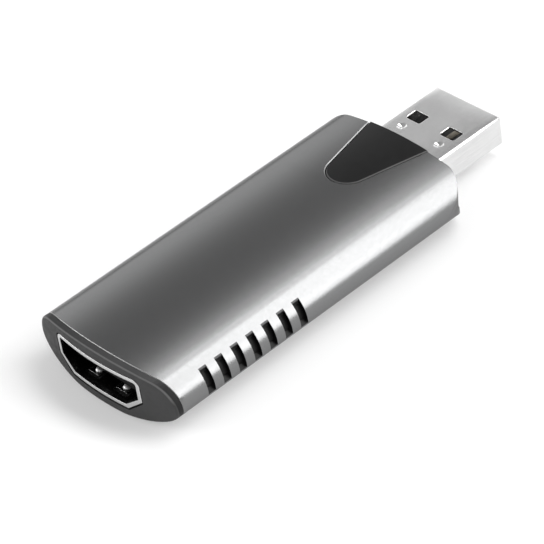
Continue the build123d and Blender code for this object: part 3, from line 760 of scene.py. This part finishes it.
def contact_strip(skin, first_x, last_x, y, half, level, thick, hand):
    """A flat strip. Its height is the thickness times a fourth-power arch across and a
    quarter circle at its front end."""
    forward = copysign(CONTACT_LEAD, last_x - first_x)
    x = np.r_[first_x + forward * RUN, last_x]
    rise = np.r_[1 - SHORT, 1]
    share = np.array([-1, -0.94, -0.8, -0.4, 0, 0.4, 0.8, 0.94, 1])
    height = thick * (0.25 + 0.75 * rise[:, None]) * (1 - 0.35 * share**4)
    skin.slab(*(at(x[:, None], y + half * share, level + hand * rim) for rim in (height, 0 * height)))


def make_port_contacts(name, node, count, level, hand):
    """A row of contacts on one face of the port's tongue."""
    skin = Skin()
    reach = PORT_CONTACT_X, PORT_CONTACT_TAIL_X
    for y in np.arange(count) - (count - 1) / 2:
        contact_strip(skin, *reach, y, PORT_CONTACT_HALF, level, PORT_CONTACT_THICK, hand)
    add_piece(name, skin, "contact_gold", [node])


# Plug
PATCH_Y = (1.6, 4.8)
DIMPLE_ROWS = np.linspace(DIMPLE_X - 0.95, DIMPLE_X + 0.95, 9)
LATCH_ROWS = np.linspace(LATCH_X - 1.3, LATCH_X + 1.3, 11)


def plug_flat():
    """Points across the plug's flats, as shares: patch edges are among them."""
    wide = PLUG_HALF - PLUG_CORNER
    half = np.r_[np.linspace(0, PATCH_Y[0], 5), np.linspace(*PATCH_Y, 13)[1:], wide] / wide
    return np.r_[-half[:0:-1], half]


def plug_ring(x, shrink):
    """Plug section at x: its corners keep their centres while its walls draw in."""
    radius = PLUG_CORNER - shrink
    tall = PLUG_HALF_HEIGHT - shrink
    return at(x, *rounded_loop(PLUG_HALF - shrink, PLUG_Z - tall, PLUG_Z + tall, radius, flat=plug_flat()))


def frame_loop(rows, y):
    """The rectangle that frames a patch, as a loop through the skin's own points."""
    patch = np.stack(np.meshgrid(rows, y, indexing="ij"), -1)
    return np.concatenate([patch[:-1, 0], patch[-1, :-1], patch[:0:-1, -1], patch[0, :0:-1]])


def latch_reach(direction):
    """Distance from the latch opening's middle to its outline along each direction."""
    scale = np.linspace(0, 2, 5000)[:, None, None]
    past = np.clip(np.abs(scale * direction) - (np.array(LATCH_HALF) - LATCH_CORNER), 0, None)
    outside = np.hypot(past[..., 0], past[..., 1]) > LATCH_CORNER
    return scale[np.argmax(outside, 0), 0, 0]


def plug_patches(skin, side, hand, z_outer, z_inner):
    """Latch opening in one flat of the plug, and on the top a dimple behind it. Loops
    blend from the round outline to the rectangle that frames it."""
    flat = plug_flat() * (PLUG_HALF - PLUG_CORNER)
    y = flat[(flat > PATCH_Y[0] - 1e-6) & (flat < PATCH_Y[1] + 1e-6)] * side
    centre = np.array([LATCH_X, LATCH_Y * side])
    border = frame_loop(LATCH_ROWS, y) - centre
    direction = border / np.hypot(border[:, 0], border[:, 1])[:, None]
    reach = latch_reach(direction)[:, None]
    for level, grow in ((z_outer, LATCH_ROUND), (z_inner, 0)):
        outline = direction * (reach + grow)
        loops = outline + (border - outline) * np.linspace(0, 1, 5)[:, None, None] + centre
        skin.grid(at(loops[..., 0], loops[..., 1], level), ring=True)
    rim = direction * (reach + LATCH_ROUND * SHORT[:, None, None]) + centre
    wall = at(rim[..., 0], rim[..., 1], z_outer - hand * LATCH_ROUND * RUN[:, None])
    skin.grid(np.concatenate([wall, at(rim[-1:, :, 0], rim[-1:, :, 1], z_inner)]), ring=True)
    centre = np.array([DIMPLE_X, DIMPLE_Y * side])
    border = frame_loop(DIMPLE_ROWS, y) - centre
    reach = np.hypot(border[:, 0], border[:, 1])[:, None]
    radii = np.array([0, 0.15, 0.3, 0.45, 0.6, 0.75, 0.87, 0.95, 1.0, 1.05]) * DIMPLE_RADIUS
    circles = border / reach * radii[:, None, None]
    blend = circles[-1] + (border - circles[-1]) * np.linspace(0, 1, 4)[1:, None, None]
    loops = np.concatenate([circles, blend])
    sunk = (hand > 0) * ball_cap(np.hypot(loops[..., 0], loops[..., 1]), DIMPLE_RADIUS, DIMPLE_DEPTH)
    loops = loops + centre
    for level in (z_outer, z_inner):
        skin.grid(at(loops[..., 0], loops[..., 1], level - sunk), ring=True)


def make_plug_shell():
    """A folded tube: outer and inner skins, joined at the tail and by a rolled edge at
    the tip, with patches for the latch openings and the dimples."""
    skin = Skin()
    rows = np.r_[PLUG_TAIL_X, 21.0, 23.0, DIMPLE_ROWS, LATCH_ROWS, 31.0, PLUG_TIP_X - PLUG_ROLL]
    outer = [plug_ring(x, 0.0) for x in rows]
    inner = [plug_ring(x, PLUG_SHEET) for x in rows]
    roll = [
        plug_ring(PLUG_TIP_X - PLUG_ROLL * (1 - sin(turn)), PLUG_SHEET / 2 * (1 - cos(turn)))
        for turn in np.linspace(0, pi, 9)[1:-1]
    ]
    chain = np.stack(outer + roll + inner[::-1])
    middle = (chain[:, 0, 0] + np.roll(chain[:, 0, 0], -1)) / 2
    cut = np.zeros(len(chain), bool)
    for patch in (DIMPLE_ROWS, LATCH_ROWS):
        cut |= (middle > patch[0]) & (middle < patch[-1])
    skin.chain(chain, keep=~np.outer(cut, flat_steps(chain[0, :, 1], chain[0, :, 2], *PATCH_Y)))
    for side in (1, -1):
        for hand in (1, -1):
            outer_z = PLUG_Z + hand * PLUG_HALF_HEIGHT
            plug_patches(skin, side, hand, outer_z, outer_z - hand * PLUG_SHEET)
        add_ear(skin, side, PLUG_HALF, *PLUG_EAR)
    add_piece("plug_sheet", skin, "plug_steel", ["plug_shell"], bevel=0.04)


def make_plug_tongue():
    """A block in the back of the plug and a tongue along its floor, with a shallow
    channel under each contact."""
    skin = Skin()
    half, low = PLUG_HALF - PLUG_SHEET, PLUG_Z - PLUG_HALF_HEIGHT + PLUG_SHEET
    corner = PLUG_CORNER - PLUG_SHEET
    block = rounded_loop(half, low, PLUG_Z + PLUG_HALF_HEIGHT - PLUG_SHEET, corner)
    skin.rod([at(x, *block) for x in (PLUG_TAIL_X, PLUG_BLOCK_X)])
    middles = sorted(side * y for y, _ in PLUG_CONTACTS for side in (1, -1))
    edges = np.add.outer(middles, np.array([-1, 1]) * (PLUG_CONTACT_HALF + PLUG_CHANNEL_PLAY))
    channel = BOARD_LOW_Z - PLUG_CONTACT_THICK
    y, z = rounded_loop(half, low, PLUG_TONGUE_Z, corner)
    under = np.flatnonzero(z < low + corner + 1e-9)
    y = np.r_[-half, np.repeat(edges, 2), half, y[under]]
    steps = np.tile([PLUG_TONGUE_Z, channel, channel, PLUG_TONGUE_Z], len(middles))
    z = np.r_[PLUG_TONGUE_Z, steps, PLUG_TONGUE_Z, z[under]]
    soft_tongue(skin, y, z, PLUG_TONGUE_X, PLUG_BLOCK_X - 0.05, *PLUG_TONGUE_SOFT)
    add_piece("plug_tongue", skin, "plug_plastic", ["plug_insulator"], bevel=0.03)


def make_plug_contacts():
    """Four contact strips: the outer pair reaches further to the mouth."""
    skin = Skin()
    shape = PLUG_CONTACT_HALF, BOARD_LOW_Z - PLUG_CONTACT_THICK, PLUG_CONTACT_THICK, 1
    for y, front_x in PLUG_CONTACTS:
        for side in (1, -1):
            contact_strip(skin, front_x, PLUG_CONTACT_TAIL_X, y * side, *shape)
    add_piece("plug_strips", skin, "contact_gold", ["plug_contacts"])


# Finishes
class Nodes:
    """A node tree, with short ways to add nodes to it."""

    def __init__(self, tree):
        self.nodes, self.links = tree.nodes, tree.links

    def node(self, kind, inputs=None, **settings):
        node = self.nodes.new(kind)
        for key, value in settings.items():
            setattr(node, key, value)
        for socket, value in (inputs or {}).items():
            if isinstance(value, bpy.types.NodeSocket):
                self.links.new(value, node.inputs[socket])
            else:
                node.inputs[socket].default_value = value
        return node

    def span(self, value, low, high, start=0.3, end=0.7):
        """A value stretched from start and end to low and high, and held there."""
        inputs = {"Value": value, "From Min": start, "From Max": end, "To Min": low, "To Max": high}
        return self.node("ShaderNodeMapRange", inputs).outputs["Result"]

    def times(self, first, second):
        return self.node("ShaderNodeMath", {0: first, 1: second}, operation="MULTIPLY").outputs["Value"]

    def plus(self, first, second):
        return self.node("ShaderNodeMath", {0: first, 1: second}, operation="ADD").outputs["Value"]

    def ramp(self, value, stops):
        """Colours, or levels of grey, at given places along a value."""
        node = self.node("ShaderNodeValToRGB", {"Fac": value})
        elements = node.color_ramp.elements
        while len(elements) < len(stops):
            elements.new(0.5)
        for element, (place, colour) in zip(elements, stops):
            element.position = place
            element.color = (*np.broadcast_to(colour, 3), 1)
        return node.outputs["Color"]

    def mixed(self, share, first, second):
        """The first colour, going over to the second by a share."""
        inputs = {"Factor": share, "A": first, "B": second}
        return self.node("ShaderNodeMix", inputs, data_type="RGBA").outputs["Result"]


class Finish(Nodes):
    """A node material. Patterns read Object coordinates, in metres, and values that
    are the same all over sit on the shader."""

    def __init__(self, name, **values):
        self.material = finishes[name] = bpy.data.materials.new(name)
        self.material.use_nodes = True
        super().__init__(self.material.node_tree)
        self.shader = self.nodes["Principled BSDF"]
        self.place = self.node("ShaderNodeTexCoord").outputs["Object"]
        for socket, value in values.items():
            self.shader.inputs[socket.replace("_", " ")].default_value = value

    def noise(self, size, detail=3.0, rough=0.55, stretch=None):
        """Noise with features about size millimetres across. A stretch scales the
        coordinates along each axis."""
        place = self.place
        if stretch:
            place = self.node("ShaderNodeMapping", {"Vector": place, "Scale": stretch}).outputs["Vector"]
        inputs = {"Vector": place, "Scale": 1 / (size * MM), "Detail": detail, "Roughness": rough}
        return self.node("ShaderNodeTexNoise", inputs).outputs["Fac"]

    def cells(self, size):
        inputs = {"Vector": self.place, "Scale": 1 / (size * MM)}
        return self.node("ShaderNodeTexVoronoi", inputs).outputs["Distance"]

    def axis(self, name):
        """Object coordinate along one axis, in metres."""
        return self.node("ShaderNodeSeparateXYZ", {"Vector": self.place}).outputs[name]

    def feed(self, name, socket):
        self.links.new(socket, self.shader.inputs[name])

    def colour(self, value, *stops):
        """Base colour at given places along a value."""
        self.feed("Base Color", self.ramp(value, stops))

    def rough(self, size, low, high, detail=3.0):
        """Roughness that goes from low to high by noise of a size."""
        self.feed("Roughness", self.span(self.noise(size, detail), low, high))

    def mark(self, sign=1.0, most=1.0):
        """How far a face is marked for a painted highlight, or with sign -1 for painted shade."""
        mark = self.node("ShaderNodeAttribute", attribute_name="edge").outputs["Fac"]
        return self.span(mark, 0, most, 0, sign)

    def paint_highlight_and_shade(self, base, highlight_grey, deep=None):
        """Base colour that goes over to a lighter grey level as a painted highlight on faces
        marked above 0, and to the grey level deep as painted shade on faces marked below 0."""
        tint = self.mixed(self.mark(), base, (highlight_grey, highlight_grey, highlight_grey, 1))
        if deep:
            tint = self.mixed(self.mark(-1), tint, (deep, deep, deep, 1))
        self.feed("Base Color", tint)

    def bumps(self, *layers):
        """Bump layers of height and depth in millimetres, each laid on the one before."""
        inputs = {}
        for height, depth in layers:
            inputs.update({"Height": height, "Strength": 1.0, "Distance": depth * MM})
            inputs["Normal"] = self.node("ShaderNodeBump", inputs).outputs["Normal"]
        self.feed("Normal", inputs["Normal"])


def anodised_shell():
    """Blasted, anodised aluminium: an even grain, a painted highlight at the rims, painted shade and more
    roughness in the slots.
    """
    coat = Finish("anodised_shell", Metallic=1.0, Specular_Tint=(0.6, 0.6, 0.6, 1))
    tint = coat.ramp(coat.noise(0.3), [(0.3, (0.158, 0.159, 0.16)), (0.7, (0.166, 0.167, 0.168))])
    # painted highlight on marked rims, painted shade on the slots' walls
    coat.paint_highlight_and_shade(tint, 0.36, 0.03)
    grain = coat.span(coat.noise(0.5, detail=4), 0.235, 0.265)
    coat.feed("Roughness", coat.plus(coat.plus(grain, coat.mark(most=0.2)), coat.mark(-1, 0.3)))
    coat.bumps((coat.noise(0.16, detail=2), 0.0006))


def bezel_plastic():
    """Moulded plastic with a fine spark texture, painted shade that darkens it towards one side, and a
    painted highlight and painted shade where its faces are marked.
    """
    coat = Finish("bezel_plastic", Specular_IOR_Level=0.14)
    # painted shade: darker towards positive y
    painted_side_shade = coat.span(coat.axis("Y"), 1.0, 0.34, -12 * MM, 12 * MM)
    shade = coat.times(coat.span(coat.noise(4.0), 0.85, 1.0), painted_side_shade)
    # painted highlight on the rounded edge, painted shade on the band's far side
    coat.paint_highlight_and_shade(coat.ramp(shade, [(0.0, 0), (1.0, (0.058, 0.058, 0.0586))]), 0.13, 0.004)
    coat.rough(0.8, 0.48, 0.6, detail=4)
    coat.bumps((coat.noise(0.14, rough=0.7), 0.006), (coat.cells(0.22), 0.003))


def insert_plastic():
    """Smooth moulded plastic, near black, with faint flow marks and a painted highlight along the tongue's
    chamfer.
    """
    coat = Finish("insert_plastic", IOR=1.48, Specular_IOR_Level=0.15)
    flow = coat.noise(3.0, stretch=(0.4, 1, 1))
    coat.paint_highlight_and_shade(coat.ramp(flow, [(0.3, (0.0045, 0.0045, 0.0047)), (0.7, (0.0062, 0.0062, 0.0064))]), 0.1)
    coat.rough(1.0, 0.3, 0.38, detail=4)
    coat.bumps((coat.noise(0.18, detail=2), 0.0022))


def sheet_steel(name, low, high, size, shaded_side_level):
    """Nickel-plated sheet: rolling lines and faint stains, painted shade that darkens it towards
    one side, a painted highlight on marked faces and painted shade on deep ones."""
    coat = Finish(name, Metallic=1.0)
    lines = coat.noise(size, detail=5, rough=0.65, stretch=(0.04, 1, 1))
    tint = coat.times(coat.span(lines, 0.86, 1.0), coat.span(coat.noise(3.5), 0.94, 1.0))
    # painted shade: darker towards negative y
    tint = coat.times(tint, coat.span(coat.axis("Y"), shaded_side_level, 1.0, -5.6 * MM, -1.0 * MM))
    coat.paint_highlight_and_shade(coat.ramp(tint, [(0.0, 0), (0.78, low), (1.0, high)]), 0.9, 0.1)
    grain = coat.span(coat.noise(0.5, detail=4), 0.22, 0.27)
    coat.feed("Roughness", coat.plus(grain, coat.mark(most=0.2)))
    coat.bumps((lines, 0.0004))


def plain_finish(name, pattern, dark, light, rough, depth, **values):
    """One noise pattern for colour and bumps, and noise of its own for the roughness."""
    coat = Finish(name, **values)
    noise = coat.noise(**pattern)
    coat.colour(noise, (0.3, dark), (0.7, light))
    coat.rough(*rough)
    coat.bumps((noise, depth))


def black_moulding(name, level, shine):
    """Glass-filled black plastic with a dry, fine grain."""
    coat = Finish(name, Specular_IOR_Level=shine)
    grain = coat.noise(0.12, rough=0.7)
    coat.colour(coat.noise(2.0, detail=4), (0.3, level), (0.7, level * 1.45))
    coat.feed("Roughness", coat.span(grain, 0.45, 0.6))
    coat.bumps((grain, 0.003))


def board_laminate():
    """Green solder mask over copper, which shows as lighter lines, and a fine weave."""
    coat = Finish("board_laminate", IOR=1.52)
    inputs = {"Vector": coat.place, "Scale": 1 / (1.1 * MM), "Distortion": 1.5, "Detail": 1.0}
    tracks = coat.node("ShaderNodeTexWave", inputs, bands_direction="DIAGONAL").outputs["Fac"]
    track = coat.span(tracks, 0, 1, 0.62, 0.7)
    coat.colour(track, (0.0, (0.012, 0.075, 0.035)), (1.0, (0.03, 0.16, 0.07)))
    coat.rough(1.0, 0.22, 0.32)
    coat.bumps((track, 0.02), (coat.cells(0.35), 0.003))


def tinned_leads():
    """Tin plate with small soft crystals."""
    coat = Finish("tinned_leads", Metallic=1.0)
    crystals = coat.cells(0.12)
    coat.colour(crystals, (0.1, (0.62, 0.61, 0.58)), (0.8, (0.74, 0.73, 0.7)))
    coat.feed("Roughness", coat.span(crystals, 0.26, 0.4, 0.0, 0.8))
    coat.bumps((crystals, 0.002))


def pad_silicone():
    """Soft filled silicone: speckled, dull and slightly dimpled."""
    coat = Finish("pad_silicone", IOR=1.41)
    speck = coat.noise(0.12, detail=4, rough=0.7)
    coat.colour(speck, (0.3, (0.3, 0.36, 0.42)), (0.7, (0.42, 0.49, 0.55)))
    coat.rough(1.0, 0.6, 0.75)
    coat.bumps((coat.noise(0.5), 0.02), (speck, 0.004))


def ferrite():
    """Pressed ferrite: coarse dark grains and small pits."""
    coat = Finish("ferrite", IOR=1.6)
    pits = coat.cells(0.16)
    coat.colour(coat.noise(0.2, detail=4), (0.3, (0.05, 0.05, 0.052)), (0.7, (0.085, 0.083, 0.08)))
    coat.feed("Roughness", coat.span(pits, 0.72, 0.5, 0.0, 0.6))
    coat.bumps((pits, 0.008))


def make_finishes():
    anodised_shell()
    bezel_plastic()
    insert_plastic()
    sheet_steel("port_steel", 0.4, 0.48, 0.12, 1.0)
    sheet_steel("plug_steel", 0.66, 0.76, 0.14, 0.76)
    black_moulding("port_plastic", 0.003, 0.1)
    black_moulding("plug_plastic", 0.012, 0.4)
    black_moulding("liner_plastic", 0.005, 0.2)
    board_laminate()
    tinned_leads()
    pad_silicone()
    ferrite()
    # a thin, pale flash of gold over nickel, drawn along the strip, kept dark as painted shade, as though
    # the contacts lay in the shell's shadow
    drawn = {"size": 0.08, "detail": 4, "stretch": (0.05, 1, 1)}
    gold = (0.14, 0.127, 0.104), (0.2, 0.182, 0.148)
    plain_finish("contact_gold", drawn, *gold, (0.7, 0.3, 0.4), 0.0006, Metallic=1.0)
    # a bright pressed can with fine rub marks
    rubbed = {"size": 0.1, "detail": 4, "stretch": (0.1, 1, 1)}
    tin = (0.6, 0.59, 0.56), (0.72, 0.71, 0.68)
    plain_finish("crystal_can", rubbed, *tin, (0.8, 0.16, 0.26), 0.0006, Metallic=1.0)
    # black moulding compound with a fine ground surface
    ground = {"size": 0.09, "rough": 0.75}
    black = (0.02, 0.02, 0.021), (0.036, 0.036, 0.038)
    plain_finish("chip_package", ground, *black, (0.6, 0.5, 0.62), 0.003)
    # fired ceramic, slightly mottled and glazed
    fired, glaze = {"size": 0.25, "detail": 4}, ((0.5, 0.28, 0.42), 0.004)
    plain_finish("capacitor_ceramic", fired, (0.36, 0.25, 0.14), (0.5, 0.37, 0.23), *glaze, IOR=1.6)
    plain_finish("resistor_ceramic", fired, (0.025, 0.025, 0.028), (0.05, 0.05, 0.055), *glaze, IOR=1.6)


# Stage
FLOOR_HALF = 3.0
FLOOR_Z = -0.00002
FLOOR_GREY = (0.68, 0.68, 0.68, 1)
STUDIO_LEVEL = 2.25
STUDIO_STOPS = [
    (0.0, 0.36), (0.15, 0.4), (0.27, 0.8), (0.36, 1.0), (0.41, 0.72), (0.46, 0.38), (0.52, 0.24),
    (0.6, 0.19), (1.0, 0.17),
]


def make_floor():
    """A pale floor. What the camera and glossy rays see of it is lifted to white by a
    glow of its own, which leaves the object's shadow on it."""
    mesh = bpy.data.meshes.new("floor")
    corners = ((-1, -1), (1, -1), (1, 1), (-1, 1))
    mesh.from_pydata([(x * FLOOR_HALF, y * FLOOR_HALF, FLOOR_Z) for x, y in corners], [], [(0, 1, 2, 3)])
    values = {"Roughness": 0.8, "Specular_IOR_Level": 0.0, "Emission_Color": (1, 1, 1, 1)}
    coat = Finish("floor_white", Base_Color=FLOOR_GREY, **values)
    rays = coat.node("ShaderNodeLightPath").outputs
    glow = coat.plus(coat.times(rays["Is Camera Ray"], 0.26), coat.times(rays["Is Glossy Ray"], 0.56))
    coat.feed("Emission Strength", glow)
    mesh.materials.append(coat.material)
    floor = add_object("floor", mesh)


def make_world():
    """Studio surroundings: bright near the horizon, grey overhead, dimmer on one side,
    and plain white where the camera looks straight at them."""
    world = bpy.data.worlds.new("studio")
    bpy.context.scene.world = world
    world.use_nodes = True
    tree = Nodes(world.node_tree)
    place = tree.node("ShaderNodeTexCoord").outputs["Generated"]
    split = tree.node("ShaderNodeSeparateXYZ", {"Vector": place}).outputs
    inputs = {"Vector": tree.ramp(split["Z"], STUDIO_STOPS)}
    inputs["Scale"] = tree.span(split["Y"], 0.45, 1.0, -0.7, 0.2)
    dimmed = tree.node("ShaderNodeVectorMath", inputs, operation="SCALE").outputs["Vector"]
    ray = tree.node("ShaderNodeLightPath").outputs["Is Camera Ray"]
    white = (1 / STUDIO_LEVEL, 1 / STUDIO_LEVEL, 1 / STUDIO_LEVEL, 1)
    background = tree.nodes["Background"]
    tree.links.new(tree.mixed(ray, dimmed, white), background.inputs["Color"])
    background.inputs["Strength"].default_value = STUDIO_LEVEL


LAMP_AIM = np.array([0, 0, 0.004])


def add_softbox(name, direction, long_way, length, width, level):
    """An area lamp a metre away that faces the object, with its length along long_way.
    Its face is as bright as level."""
    light = bpy.data.lights.new(name, "AREA")
    light.shape = "RECTANGLE"
    light.size, light.size_y = length, width
    light.energy = level * pi * length * width
    toward = np.array(direction) / np.linalg.norm(direction)
    side = np.array(long_way) - np.dot(long_way, toward) * toward
    side /= np.linalg.norm(side)
    stand(add_object(name, light), side, np.cross(toward, side), toward, toward + LAMP_AIM)


def make_lamps():
    add_softbox("shoulder_box", (0.5, -0.615, 0.61), (0, 0.78, 0.68), 1.48, 0.38, 6.8)
    add_softbox("crown_box", (0.46, 0.14, 0.875), (0, 1, -0.1), 0.42, 0.26, 4.5)
    add_softbox("front_box", (-0.62, 0.61, 0.48), (-0.31, -0.56, 0.32), 0.9, 0.16, 5.0)


def make_camera():
    """The photograph's viewpoint: right, down and forward are the camera's own axes."""
    camera = bpy.data.cameras.new("view")
    camera.sensor_width = 36
    camera.lens = 196.665
    camera.clip_start, camera.clip_end = 0.01, 20
    right = np.array([0.7169609, -0.6858288, -0.1249236])
    down = np.array([-0.5081684, -0.3915030, -0.7671312])
    forward = np.array([0.4772128, 0.6134853, -0.6292088])
    holder = add_object("view", camera)
    stand(holder, right, -down, -forward, np.array([-191.4792, -241.1222, 248.4303]) * MM)
    bpy.context.scene.camera = holder


# The whole object
def main():
    make_finishes()
    make_sleeve()
    make_bezel()
    make_insert()
    make_port_shell()
    make_port_tongue()
    make_port_contacts("port_row_upper", "port_contacts_upper", 10, BOARD_TOP_Z, 1)
    make_port_contacts("port_row_lower", "port_contacts_lower", 9, BOARD_LOW_Z, -1)
    make_plug_shell()
    make_plug_tongue()
    make_plug_contacts()
    for slot, nodes in INNER_FINISHES.items():
        for node in nodes:
            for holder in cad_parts[node].material_slots:
                holder.material = finishes[slot]
    make_floor()
    make_world()
    make_lamps()
    make_camera()
    bpy.context.scene.view_settings.view_transform = "Standard"


main()
